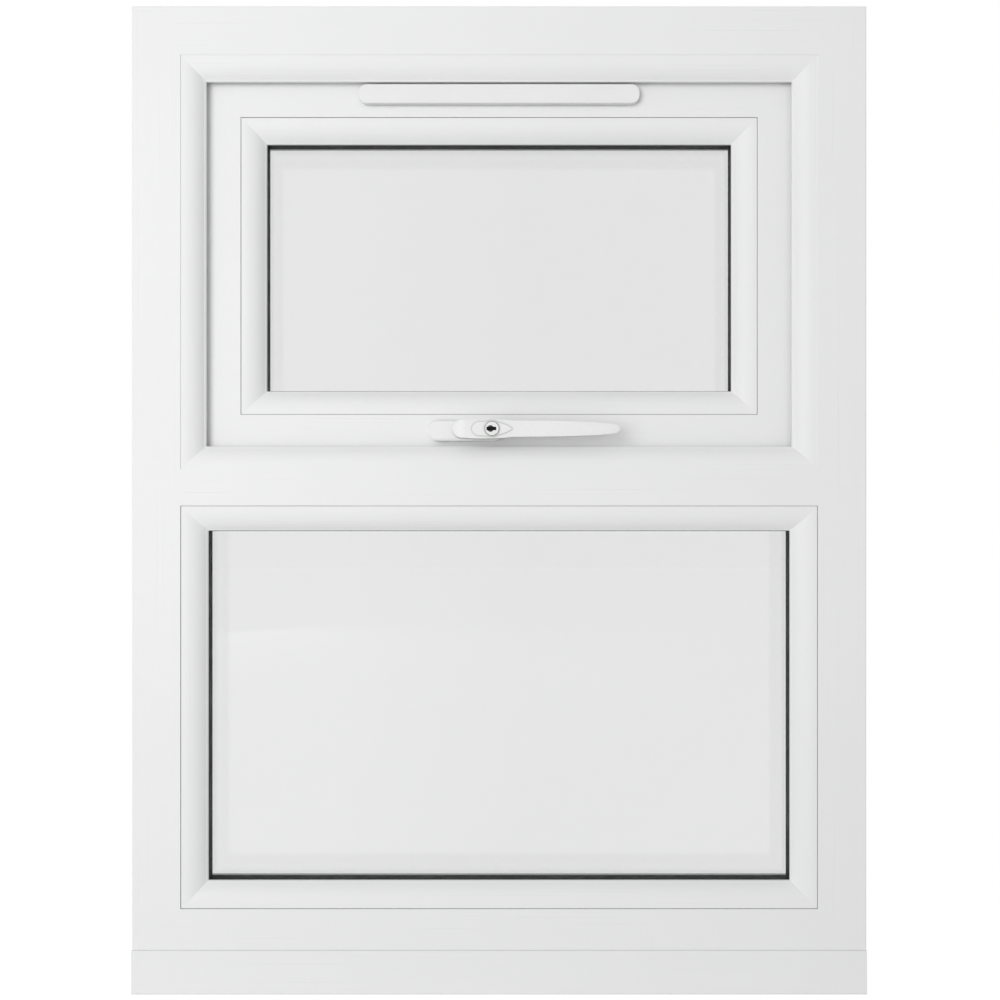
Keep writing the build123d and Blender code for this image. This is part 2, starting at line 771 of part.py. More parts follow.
track_screw_heights = (track_pivot - 21.6, track_pivot + 22.4, top_pivot + 4.0)
sash_screw_heights = (track_pivot - 7.6, track_pivot + 24.4, top_pivot - 26.0)
screw_shank = 2.1
screw_sides = 12
shoe_length = 24.0
shoe_play = 0.25
for hand, side in ((-1, "left"), (1, "right")):
    with BuildPart() as stay_track:
        with BuildSketch(track_plane(hand, track_low)):
            with Locations((0, hand * track_height / 2)):
                Rectangle(track_width, track_height)
            with Locations((0, hand * track_height / 2)):
                Rectangle(track_width - 2 * track_wall, track_height - 2 * track_wall, mode=Mode.SUBTRACT)
            with Locations((0, hand * (track_height - track_wall / 2))):
                Rectangle(track_width - 2 * track_wall - 2 * track_lip, track_wall, mode=Mode.SUBTRACT)
        extrude(amount=track_high - track_low)
        for screw_z in track_screw_heights:
            add(stay_disc(hand, screw_z, screw_shank, 0, track_wall), mode=Mode.SUBTRACT)
        # Riveted stud that the long arm turns on
        add(stay_disc(hand, track_pivot, 4.6, track_wall, layer_two - layer_gap))
        add(stay_disc(hand, track_pivot, pivot_radius, track_wall, layer_two + long_arm_thickness))
    keep_part(stay_track.part, f"stay_track_{side}")

    with BuildPart() as stay_sash_arm:
        foot = track_pivot - sash_arm_tail + arm_width / 2
        add(link_bar(hand, foot, top_pivot, arm_width, layer_three, hardware_gap - layer_three, ()))
        # Riveted studs that the long arm and the short arm turn on
        for centre in (sash_pivot, top_pivot):
            add(stay_disc(hand, centre, pivot_radius, layer_two, layer_three))
        for screw_z in sash_screw_heights:
            add(stay_disc(hand, screw_z, screw_shank, layer_three, hardware_gap), mode=Mode.SUBTRACT)
    keep_part(stay_sash_arm.part, f"stay_sash_arm_{side}")

    with BuildPart() as stay_long_arm:
        add(link_bar(hand, track_pivot, sash_pivot, arm_width, layer_two, long_arm_thickness,
                     (track_pivot, sash_pivot)))
        add(stay_disc(hand, elbow_pivot, pivot_radius, layer_one, layer_two))
    keep_part(stay_long_arm.part, f"stay_long_arm_{side}")

    with BuildPart() as stay_link:
        add(link_bar(hand, elbow_pivot, shoe_pivot, link_width, layer_one, link_thickness,
                     (elbow_pivot, shoe_pivot)))
    keep_part(stay_link.part, f"stay_link_{side}")

    with BuildPart() as stay_short_arm:
        add(link_bar(hand, shoe_pivot, top_pivot, link_width, layer_two, long_arm_thickness,
                     (shoe_pivot, top_pivot)))
    keep_part(stay_short_arm.part, f"stay_short_arm_{side}")

    # Plastic shoe that slides in the track, with the stud that carries the link and the short arm
    with BuildPart() as stay_shoe:
        wide = track_width / 2 - track_wall - shoe_play
        neck = wide - track_lip
        low_layer = track_wall + shoe_play
        with BuildSketch(track_plane(hand, shoe_pivot)):
            with Locations((0, hand * (low_layer + track_height - track_wall - shoe_play) / 2)):
                Rectangle(2 * wide, track_height - 2 * track_wall - 2 * shoe_play)
            with Locations((0, hand * (low_layer + track_height) / 2)):
                Rectangle(2 * neck, track_height - low_layer)
        extrude(amount=shoe_length / 2, both=True)
        add(stay_disc(hand, shoe_pivot, pivot_radius, track_height - 0.5, layer_two + long_arm_thickness))
    keep_part(stay_shoe.part, f"stay_shoe_{side}")


# Lock: a gearbox in the bottom rail turns the handle's quarter turn into a slide of the rod

neck_radius = 5.4
gearbox_flange = 1.2
gearbox_top = sash_foot + sash_flat - wall - 0.4
drive_width = 10.0
drive_depth = 6.0
drive_height = 8.0
drive_gap = 0.3
rod_low = sash_foot + 0.6
rod_top = rod_low + rod_thickness

with BuildPart() as lock_gearbox:
    add(block(
        (handle_x - gearbox_length / 2, stay_y - gearbox_thickness / 2, groove_floor - gearbox_flange),
        (handle_x + gearbox_length / 2, stay_y + gearbox_thickness / 2, gearbox_top),
    ))
    fillet(lock_gearbox.edges().filter_by(Axis.Y).group_by(Axis.Z)[-1], 4)
    add(block(
        (handle_x - gearbox_length / 2 - 18, stay_y - rod_width / 2, groove_floor - gearbox_flange),
        (handle_x + gearbox_length / 2 + 18, stay_y + rod_width / 2, groove_floor),
    ))
    add(bored_through_y(handle_x, handle_z, follower_radius + pivot_clearance, stay_y - 20, stay_y + 20),
        mode=Mode.SUBTRACT)
    # Slot that the rod's drive block runs in
    slot_half_depth = drive_depth / 2 + drive_gap
    add(block(
        (handle_x - drive_width / 2 - 1, stay_y - slot_half_depth, groove_floor - 2 * gearbox_flange),
        (handle_x + drive_width / 2 + rod_travel + 1, stay_y + slot_half_depth, rod_top + drive_height + 0.5),
    ), mode=Mode.SUBTRACT)
keep_part(lock_gearbox.part, "lock_gearbox")

with BuildPart() as lock_follower:
    with BuildSketch(Plane(origin=(handle_x, stay_y, handle_z), x_dir=(1, 0, 0), z_dir=(0, -1, 0))):
        Circle(follower_radius)
        Rectangle(spindle_side, spindle_side, mode=Mode.SUBTRACT)
    extrude(amount=gearbox_thickness / 2 - 0.5, both=True)
keep_part(lock_follower.part, "lock_follower")

with BuildPart() as lock_rod:
    with BuildSketch(Plane.XY.offset(rod_low)):
        with Locations((0, stay_y)):
            RectangleRounded(rod_length, rod_width, 3)
    extrude(amount=rod_thickness)
    add(block(
        (handle_x - drive_width / 2, stay_y - drive_depth / 2, rod_top),
        (handle_x + drive_width / 2, stay_y + drive_depth / 2, rod_top + drive_height),
    ))
    # Mushroom cams riveted to the rod
    for hand in (-1, 1):
        with BuildSketch(Plane.XY.offset(rod_low - cam_height)):
            with Locations((hand * cam_spacing / 2, stay_y)):
                Circle(cam_radius)
        extrude(amount=1.8)
        with BuildSketch(Plane.XY.offset(rod_low - cam_height + 1.8)):
            with Locations((hand * cam_spacing / 2, stay_y)):
                Circle(cam_radius - 1)
        extrude(amount=cam_height - 1.8)
keep_part(lock_rod.part, "lock_rod")

# Each keep has a wall that the cam slides behind, and a gap beside it that lets the cam out
keep_base = 2.0
keep_wall = 2.2
keep_gap = 0.8
keep_half_depth = 9.0
keep_top = sash_foot - 2.8
keep_screw_head = 3.3
keep_head_height = 1.2
track_screw_head = 3.9
track_head_height = 1.3
keep_screw_y = stay_y - 2.0
keep_screw_places = [
    (hand * cam_spacing / 2 - keep_lead + along, keep_screw_y)
    for hand in (-1, 1)
    for along in (keep_screw_inset, keep_length - keep_screw_inset)
]
with BuildPart() as keeps:
    wall_y = stay_y + cam_radius + keep_gap
    for hand in (-1, 1):
        cam_x = hand * cam_spacing / 2
        keep_low = cam_x - keep_lead
        add(block(
            (keep_low, stay_y - keep_half_depth, transom_top),
            (keep_low + keep_length, wall_y + keep_wall + 2, transom_top + keep_base),
        ))
        add(block(
            (cam_x + cam_radius + 2, wall_y, transom_top + keep_base),
            (keep_low + keep_length, wall_y + keep_wall, keep_top),
        ))
    with BuildSketch(Plane.XY.offset(transom_top)):
        with Locations(*keep_screw_places):
            Circle(screw_shank)
    extrude(amount=keep_base, mode=Mode.SUBTRACT)
keep_part(keeps.part, "keeps")

# Screws through the tracks and the keeps into the frame
with BuildPart() as frame_screws:
    for hand in (-1, 1):
        for screw_z in track_screw_heights:
            place = (local_y(hand), screw_z)
            floor = layer_plane(hand, track_wall)
            add(plain_screw(floor, place, screw_shank, track_wall, track_screw_head, track_head_height))
    keep_plane = Plane.XY.offset(transom_top + keep_base)
    for place in keep_screw_places:
        add(plain_screw(keep_plane, place, screw_shank, keep_base, keep_screw_head, keep_head_height))
keep_part(frame_screws.part, "frame_screws")

# Handle: base, lever, spindle and the lock in the lever
room_plane = Plane(origin=(handle_x, face_y, handle_z), x_dir=(1, 0, 0), z_dir=(0, -1, 0))
lever_back = handle_base_depth + lever_hub_gap
screw_offset = handle_screw_spacing / 2
base_plate = 2.4
base_skin = 2.4
base_fit = 0.05
screw_head = 4.4
screw_head_height = 2.6
with BuildPart() as base_cover:
    with BuildSketch(room_plane):
        SlotOverall(handle_base_length, handle_base_height)
    extrude(amount=handle_base_depth)
    chamfer(base_cover.faces().sort_by(Axis.Y)[0].edges(), base_edge)
    with BuildSketch(room_plane):
        SlotOverall(handle_base_length - 2 * base_wall, handle_base_height - 2 * base_wall)
        Circle(neck_radius + base_boss, mode=Mode.SUBTRACT)
    extrude(amount=handle_base_depth - base_skin, mode=Mode.SUBTRACT)
    with BuildSketch(room_plane):
        Circle(neck_radius + pivot_clearance)
    extrude(amount=handle_base_depth, mode=Mode.SUBTRACT)
with BuildPart() as handle_base:
    add(base_cover.part)
    # Plate that the cover clips over, with the two screws through it
    with BuildSketch(room_plane):
        SlotOverall(
            handle_base_length - 2 * (base_wall + base_fit), handle_base_height - 2 * (base_wall + base_fit)
        )
        Circle(neck_radius + base_boss + base_fit, mode=Mode.SUBTRACT)
        with Locations((-screw_offset, 0), (screw_offset, 0)):
            Circle(screw_hole, mode=Mode.SUBTRACT)
    extrude(amount=base_plate)
keep_part(handle_base.part, "handle_base")

with BuildPart() as handle_screws:
    plate_face = room_plane.offset(base_plate)
    screw_length = base_plate + groove_centre - sash_face - gearbox_thickness / 2
    for place in (-screw_offset, screw_offset):
        add(plain_screw(plate_face, (place, 0), screw_hole - 0.1, screw_length, screw_head, screw_head_height))
keep_part(handle_screws.part, "handle_screws")

lock_plane = room_plane.offset(lever_front)
boss_rise = 0.8
boss_start = 5.5
boss_half = 5.5
barrel_radius = 5.0
socket_depth = 8.0
with BuildPart() as handle_lever:
    # Outline seen from the room: the hub's end, the waist, the grip and the tip
    hub_middle = 17.0
    waist = 40.0
    grip_middle = 74.0
    grip_end = 108.0
    taper_end = lever_length - lever_hub_left - 3.5
    tip = lever_length - lever_hub_left
    with BuildSketch(room_plane.offset(lever_back)):
        with BuildLine():
            end_arc = ThreePointArc((-lever_hub_left, 0), (-8.0, 5.1), (-2, hub_half - 0.4))
            hub_arc = ThreePointArc(
                (-2, hub_half - 0.4),
                (hub_middle, hub_half + 0.3),
                (waist, hub_half - 1.1),
            )
            grip_arc = ThreePointArc(
                (waist, hub_half - 1.1),
                (grip_middle, hub_half - 1.4),
                (grip_end, hub_half - 2.5),
            )
            taper_arc = ThreePointArc(
                (grip_end, hub_half - 2.5),
                ((grip_end + taper_end) / 2, hub_half - 3.1),
                (taper_end, hub_half - 4.1),
            )
            tip_arc = ThreePointArc((taper_end, hub_half - 4.1), (tip - 0.8, 1.9), (tip, 0))
            mirror([end_arc, hub_arc, grip_arc, taper_arc, tip_arc], about=Plane.XZ)
        make_face()
    extrude(amount=lever_front - lever_back)
    # Side view: the hub sits on the base and the grip stands off the sash
    hub_end = -lever_hub_left - 1
    hub_back_end = lock_offset + 9
    grip_back_start = lock_offset + 34
    grip_back = lever_front - lever_grip_thickness
    front_end = tip - 62
    with BuildSketch(Plane(origin=(handle_x, face_y, handle_z), x_dir=(1, 0, 0), z_dir=(0, 0, 1))):
        with BuildLine():
            Line((hub_end, -lever_back), (hub_back_end, -lever_back))
            ThreePointArc(
                (hub_back_end, -lever_back),
                (hub_back_end + 8, -grip_back + 3.2),
                (grip_back_start, -grip_back),
            )
            Line((grip_back_start, -grip_back), (tip + 1, -grip_back - 0.8))
            Line((tip + 1, -grip_back - 0.8), (tip + 1, -lever_front + 3))
            ThreePointArc(
                (tip + 1, -lever_front + 3),
                (tip - 28, -lever_front + 0.9),
                (front_end, -lever_front),
            )
            Line((front_end, -lever_front), (2, -lever_front))
            ThreePointArc((2, -lever_front), (-6, -lever_front + 1.3), (hub_end, -lever_front + 4.5))
            Line((hub_end, -lever_front + 4.5), (hub_end, -lever_back))
        make_face()
    extrude(amount=hub_half * 2, both=True, mode=Mode.INTERSECT)
    # Leaf-shaped boss round the lock, pointed towards the grip
    with BuildSketch(lock_plane):
        with BuildLine():
            boss_root = ThreePointArc(
                (boss_start, 0),
                (boss_start + 2.1, boss_half - 1.6),
                (boss_start + 8.5, boss_half),
            )
            boss_point = ThreePointArc(
                (boss_start + 8.5, boss_half),
                (lock_offset + 6, boss_half - 0.6),
                (lock_offset + 17, 0),
            )
            mirror([boss_root, boss_point], about=Plane.XZ)
        make_face()
    extrude(amount=boss_rise)
    # Neck that turns in the base, the spindle's socket and the lock's bore
    with BuildSketch(room_plane):
        Circle(neck_radius)
    extrude(amount=lever_back)
    with BuildSketch(room_plane):
        Rectangle(spindle_side, spindle_side)
    extrude(amount=lever_back + socket_depth, mode=Mode.SUBTRACT)
    with BuildSketch(lock_plane.offset(boss_rise)):
        with Locations((lock_offset, 0)):
            Circle(barrel_radius + pivot_clearance)
    extrude(amount=-12, mode=Mode.SUBTRACT)
keep_part(handle_lever.part, "handle_lever")

with BuildPart() as spindle:
    with BuildSketch(room_plane.offset(lever_back + socket_depth)):
        Rectangle(spindle_side, spindle_side)
    extrude(amount=-(lever_back + socket_depth + groove_centre - sash_face + gearbox_thickness / 2))
keep_part(spindle.part, "spindle")

key_circle = 2.7
key_circle_shift = 1.1
key_slot = (8.0, 2.8)
key_slot_shift = 0.4
key_depth = 3.5
with BuildPart() as lock_barrel:
    barrel_face = lock_plane.offset(boss_rise + layer_gap)
    with BuildSketch(barrel_face):
        with Locations((lock_offset, 0)):
            Circle(barrel_radius)
    extrude(amount=-11)
    with BuildSketch(barrel_face):
        with Locations((lock_offset, 0)):
            Circle(lock_radius)
    extrude(amount=barrel_rim)
    with BuildSketch(barrel_face.offset(barrel_rim)):
        with Locations((lock_offset - key_circle_shift, 0)):
            Circle(key_circle)
        with Locations((lock_offset - key_slot_shift, 0)):
            Rectangle(*key_slot)
    extrude(amount=-key_depth, mode=Mode.SUBTRACT)
keep_part(lock_barrel.part, "lock_barrel")

# Trickle vent: a plate on the sash head, a flap that tilts on it, and a canopy outdoors
flap_back = vent_plate + layer_gap
vent_axis_rise = 3.7
vent_axis_depth = flap_back + 1.5
vent_ear = 1.6
vent_screw_hole = 1.6
vent_screw_head = 2.6
vent_head_height = 0.9
vent_plane = Plane(origin=(0, face_y, vent_centre), x_dir=(1, 0, 0), z_dir=(0, -1, 0))
vent_axis = vent_axis_rise - vent_height / 2
vent_pin_plane = Plane(
    origin=(0, face_y - vent_axis_depth, vent_centre + vent_axis), x_dir=(0, 1, 0), z_dir=(1, 0, 0)
)
plate_low = vent_axis - 0.5
plate_high = vent_height / 2 - vent_skin - 0.4
plate_length = vent_length - 2 * vent_skin - 1.2
vent_screw_places = [(hand * (vent_length / 2 - vent_corner - 2), 1.4) for hand in (-1, 1)]
with BuildPart() as vent_base:
    with BuildSketch(vent_plane):
        with Locations((0, (plate_low + plate_high) / 2)):
            RectangleRounded(plate_length, plate_high - plate_low, vent_corner - 2)
        for row in vent_slot_rows:
            for hand in (-1, 1):
                with Locations((hand * vent_slot_offset, row - vent_centre)):
                    Rectangle(vent_slot_length, vent_slot_height, mode=Mode.SUBTRACT)
        with Locations(*vent_screw_places):
            Circle(vent_screw_hole, mode=Mode.SUBTRACT)
    extrude(amount=vent_plate)
    for hand in (-1, 1):
        ear_x = hand * (vent_length / 2 - vent_corner - 1)
        ear_plane = vent_pin_plane.offset(ear_x)
        with BuildSketch(ear_plane):
            Circle(vent_ear_radius)
            with Locations(((vent_axis_depth - vent_plate / 2) / 2, vent_ear_radius / 2)):
                Rectangle(vent_axis_depth - vent_plate / 2, vent_ear_radius)
        extrude(amount=vent_ear / 2, both=True)
        with BuildSketch(ear_plane):
            Circle(vent_pin_radius)
        extrude(amount=hand * (vent_corner - 0.5))
keep_part(vent_base.part, "vent_base")

with BuildPart() as vent_flap:
    with BuildSketch(vent_plane.offset(flap_back)):
        RectangleRounded(vent_length, vent_height, vent_corner)
    extrude(amount=vent_flap_depth)
    fillet(vent_flap.faces().sort_by(Axis.Y)[0].edges(), 0.8)
    with BuildSketch(vent_plane.offset(flap_back)):
        RectangleRounded(vent_length - 2 * vent_skin, vent_height - 2 * vent_skin, vent_corner - vent_skin)
    extrude(amount=vent_flap_depth - vent_skin, mode=Mode.SUBTRACT)
    with BuildSketch(vent_pin_plane):
        Circle(vent_pin_radius + pivot_clearance)
    extrude(amount=vent_length, both=True, mode=Mode.SUBTRACT)
keep_part(vent_flap.part, "vent_flap")

canopy_depth = 12.0
canopy_height = 22.0
canopy_wall = 1.6
canopy_plane = Plane(origin=(0, back_y, vent_centre), x_dir=(0, 1, 0), z_dir=(1, 0, 0))


def canopy_outline(inset, foot):
    """Side outline of the canopy: local X points outdoors and local Y up."""
    top = canopy_height / 2 - inset
    deep = canopy_depth - inset
    with BuildSketch() as outline:
        with BuildLine():
            Line((0, top), (2.5, top))
            ThreePointArc((2.5, top), (deep * 0.74, top * 0.66), (deep, 0))
            Line((deep, 0), (deep, foot))
            Line((deep, foot), (0, foot))
            Line((0, foot), (0, top))
        make_face()
    return outline.sketch


with BuildPart() as vent_canopy:
    with BuildSketch(canopy_plane):
        add(canopy_outline(0, -canopy_height / 2))
    extrude(amount=vent_length / 2, both=True)
    with BuildSketch(canopy_plane):
        add(canopy_outline(canopy_wall, -canopy_height / 2 - 1))
    extrude(amount=vent_length / 2 - canopy_wall, both=True, mode=Mode.SUBTRACT)
    for rib in (-0.25, 0, 0.25):
        with BuildSketch(canopy_plane.offset(rib * vent_length)):
            add(canopy_outline(canopy_wall / 2, -canopy_height / 4))
        extrude(amount=canopy_wall / 2, both=True)
keep_part(vent_canopy.part, "vent_canopy")

# Screws through the stays' sash arms and the vent's plate into the sash
with BuildPart() as sash_screws:
    for hand in (-1, 1):
        for screw_z in sash_screw_heights:
            with BuildSketch(layer_plane(hand, layer_three)):
                with Locations((local_y(hand), screw_z)):
                    RegularPolygon(screw_shank, screw_sides)
            extrude(amount=hardware_gap - layer_three)
    for place in vent_screw_places:
        vent_face = vent_plane.offset(vent_plate)
        add(plain_screw(vent_face, place, vent_screw_hole, vent_plate, vent_screw_head, vent_head_height))
keep_part(sash_screws.part, "sash_screws")
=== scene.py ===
"""Finishes, fine pieces, studio and camera of the top-hung window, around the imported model. Metres."""

import json
import math

import bmesh
import bpy
from mathutils import Matrix, Vector


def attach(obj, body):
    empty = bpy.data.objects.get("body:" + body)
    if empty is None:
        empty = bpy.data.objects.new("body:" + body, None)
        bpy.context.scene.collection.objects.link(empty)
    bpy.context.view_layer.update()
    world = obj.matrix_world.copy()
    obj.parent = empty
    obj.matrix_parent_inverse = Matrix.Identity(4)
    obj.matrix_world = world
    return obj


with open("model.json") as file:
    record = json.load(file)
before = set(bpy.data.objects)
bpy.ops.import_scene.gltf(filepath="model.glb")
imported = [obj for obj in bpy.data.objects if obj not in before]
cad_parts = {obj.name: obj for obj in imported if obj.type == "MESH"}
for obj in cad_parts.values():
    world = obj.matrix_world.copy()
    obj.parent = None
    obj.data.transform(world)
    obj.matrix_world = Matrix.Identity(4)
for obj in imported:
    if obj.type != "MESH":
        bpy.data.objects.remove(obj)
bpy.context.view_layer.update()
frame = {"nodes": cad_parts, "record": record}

# Camera and light, as in the photograph
camera_place = (0.00075, -0.985, 0.410)
camera_lens = 41.2
sensor_width = 36.0
sky_strength = 0.53
key_power = 31.0
key_place = (-1.2, -2.3, 0.78)
key_size = 1.5
key_target = (0.0, 0.0, 0.45)
floor_reach = 6.0
floor_gap = 0.0005
floor_glow = 0.905
floor_shade = 0.2

# The sky in mirrors: its strength at the window's sides, and the Y of a direction where the sides end and
# where the front starts
side_sky = 0.35
sides_end = -0.3
front_start = -0.9

# The lock as the model has it: its centre, its front and the keyway's round and slot
lock_centre = (-0.0059, 0.4684)
lock_front = -0.0508
key_circle = 0.0027
key_circle_shift = 0.0011
key_slot = (0.008, 0.0028)
key_slot_shift = 0.0004

# The dark pieces that paint the keyway's shade: their play in the hole, their depth below the lock's front
# and their thickness
painted_shade_play = 0.00003
disc_depth = 0.0006
disc_thickness = 0.0004
slit_depth = 0.00055
slit_thickness = 0.0005

# The fine ring on the lock barrel's face: its radius, its wire's radius and how deep its middle lies
ring_radius = 0.0057
ring_wire = 0.00025
ring_depth = 0.0002

# Screws of the model: how flat an end is, the dark cross that paints the cross recess's shade as shares of
# the head's width, its depth, and the share of the depth by which its middle lies in the head
screw_end_slack = 0.0002
recess_length = 0.52
recess_width = 0.13
recess_depth = 0.0004
recess_sink = 0.45

# Shade painted into the colour of narrow seams: how far it reaches, how dark it gets, and where between
# closed and open it starts and ends
seam_painted_shade_reach = 0.0045
seam_painted_shade_darkest = 0.5
seam_painted_shade_range = (0.1, 0.5)
# Painted shade in the powder coat's seams
coat_seam_painted_shade_reach = 0.0015
coat_seam_painted_shade_darkest = 0.6
coat_seam_painted_shade_range = (0.42, 0.95)
# Painted shade on the lever: a long reach that darkens its sides, rounded edges and the parts near its base
lever_painted_shade_reach = 0.03
lever_painted_shade_darkest = 0.4

# Colours, linear
plastic_white = (0.868, 0.876, 0.87, 1)
vent_white = (0.86, 0.863, 0.86, 1)
paint_white = (0.87, 0.876, 0.87, 1)


def shader_tree(name, roughness, metallic=0.0):
    """A new material with a plain shader, its node tree and its shader node."""
    material = bpy.data.materials.new(name)
    material.use_nodes = True
    tree = material.node_tree
    shader = tree.nodes["Principled BSDF"]
    shader.inputs["Roughness"].default_value = roughness
    shader.inputs["Metallic"].default_value = metallic
    return material, tree, shader


def stretched_position(tree, stretch):
    """Object coordinates, stretched so that a pattern runs long where the factor is small."""
    position = tree.nodes.new("ShaderNodeTexCoord")
    mapping = tree.nodes.new("ShaderNodeMapping")
    mapping.inputs["Scale"].default_value = stretch
    tree.links.new(position.outputs["Object"], mapping.inputs["Vector"])
    return mapping.outputs["Vector"]


def noise(tree, vector, scale, detail=3.0, roughness=0.5):
    """A cloudy pattern from 0 to 1."""
    node = tree.nodes.new("ShaderNodeTexNoise")
    node.inputs["Scale"].default_value = scale
    node.inputs["Detail"].default_value = detail
    node.inputs["Roughness"].default_value = roughness
    tree.links.new(vector, node.inputs["Vector"])
    return node.outputs["Fac"]


def spread(tree, value, low, high, from_low=0.3, from_high=0.7):
    """Maps the middle of a pattern's range to low .. high."""
    node = tree.nodes.new("ShaderNodeMapRange")
    node.inputs["From Min"].default_value = from_low
    node.inputs["From Max"].default_value = from_high
    node.inputs["To Min"].default_value = low
    node.inputs["To Max"].default_value = high
    tree.links.new(value, node.inputs["Value"])
    return node.outputs["Result"]


def two_colours(tree, value, first, second, low=0.3, high=0.7):
    """Blends from the first colour to the second over the given range of a pattern."""
    ramp = tree.nodes.new("ShaderNodeValToRGB")
    ramp.color_ramp.elements[0].position = low
    ramp.color_ramp.elements[0].color = first
    ramp.color_ramp.elements[1].position = high
    ramp.color_ramp.elements[1].color = second
    tree.links.new(value, ramp.inputs["Fac"])
    return ramp.outputs["Color"]


def shaded(colour, factor):
    """The colour made darker or lighter."""
    return (colour[0] * factor, colour[1] * factor, colour[2] * factor, 1)


def painted_seam_shade(tree, colour, reach, darkest, closed_to_open):
    """Paints shade into a colour: darkens it in seams narrower than about the reach, where little light
    comes.
    """
    seam = tree.nodes.new("ShaderNodeAmbientOcclusion")
    seam.samples = 12
    seam.inputs["Distance"].default_value = reach
    depth = spread(tree, seam.outputs["AO"], 0.0, 1.0, *closed_to_open)
    tint = two_colours(tree, depth, (darkest, darkest, darkest, 1), (1, 1, 1, 1), 0.0, 1.0)
    blend = tree.nodes.new("ShaderNodeMix")
    blend.data_type = "RGBA"
    blend.blend_type = "MULTIPLY"
    blend.inputs["Factor"].default_value = 1.0
    tree.links.new(colour, blend.inputs["A"])
    tree.links.new(tint, blend.inputs["B"])
    return blend.outputs["Result"]


def raise_grain(tree, shader, height, distance, strength):
    """Grain of a real height in metres."""
    bump = tree.nodes.new("ShaderNodeBump")
    bump.inputs["Strength"].default_value = strength
    bump.inputs["Distance"].default_value = distance
    tree.links.new(height, bump.inputs["Height"])
    tree.links.new(bump.outputs["Normal"], shader.inputs["Normal"])


def extruded_plastic(name, stretch):
    """White window profile: satin skin with faint die lines along the bar, a slow change of tone and painted
    shade in seams.
    """
    material, tree, shader = shader_tree(name, 0.32)
    lines = noise(tree, stretched_position(tree, stretch), 900, 2.0)
    clouds = noise(tree, stretched_position(tree, (1, 1, 1)), 7, 4.0)
    colour = two_colours(tree, clouds, shaded(plastic_white, 0.992), shaded(plastic_white, 1.008))
    # Painted shade: the colour darkens in narrow seams and hollows
    tree.links.new(painted_seam_shade(tree, colour, seam_painted_shade_reach, seam_painted_shade_darkest, seam_painted_shade_range), shader.inputs["Base Color"])
    tree.links.new(spread(tree, lines, 0.27, 0.36), shader.inputs["Roughness"])
    raise_grain(tree, shader, lines, 0.00002, 0.35)
    return material


def moulded_plastic(name, colour, roughness, grain=2600):
    """Moulded plastic: even colour with a fine spark-eroded grain."""
    material, tree, shader = shader_tree(name, roughness)
    place = stretched_position(tree, (1, 1, 1))
    clouds = noise(tree, place, 30, 3.0)
    fine = noise(tree, place, grain, 2.0)
    tone = two_colours(tree, clouds, shaded(colour, 0.985), shaded(colour, 1.01))
    tree.links.new(tone, shader.inputs["Base Color"])
    tree.links.new(spread(tree, fine, roughness - 0.05, roughness + 0.06), shader.inputs["Roughness"])
    raise_grain(tree, shader, fine, 0.00002, 0.4)
    return material


def powder_paint(name, colour, shade_reach, darkest):
    """Powder coat on cast metal: satin, with the slow waves of orange peel and painted shade in seams and on
    sides.
    """
    material, tree, shader = shader_tree(name, 0.3)
    shader.inputs["Coat Weight"].default_value = 0.15
    shader.inputs["Coat Roughness"].default_value = 0.12
    place = stretched_position(tree, (1, 1, 1))
    peel = noise(tree, place, 700, 1.0)
    clouds = noise(tree, place, 25, 3.0)
    tone = two_colours(tree, clouds, shaded(colour, 0.988), shaded(colour, 1.008))
    # Painted shade: the colour darkens in seams, and with a long reach also on sides and near other parts
    painted_shade_tone = painted_seam_shade(tree, tone, shade_reach, darkest, coat_seam_painted_shade_range)
    tree.links.new(painted_shade_tone, shader.inputs["Base Color"])
    tree.links.new(spread(tree, peel, 0.26, 0.34), shader.inputs["Roughness"])
    raise_grain(tree, shader, peel, 0.00003, 0.35)
    return material


def rubber(name):
    """Black sealing rubber: matt, a little dusty, with drawn lines."""
    material, tree, shader = shader_tree(name, 0.62)
    shader.inputs["Specular IOR Level"].default_value = 0.35
    place = stretched_position(tree, (1, 1, 1))
    dust = noise(tree, place, 55, 5.0, 0.65)
    fine = noise(tree, place, 1800, 2.0)
    tone = two_colours(tree, dust, (0.018, 0.0195, 0.019, 1), (0.042, 0.045, 0.044, 1))
    tree.links.new(tone, shader.inputs["Base Color"])
    tree.links.new(spread(tree, dust, 0.52, 0.72), shader.inputs["Roughness"])
    raise_grain(tree, shader, fine, 0.00003, 0.5)
    return material


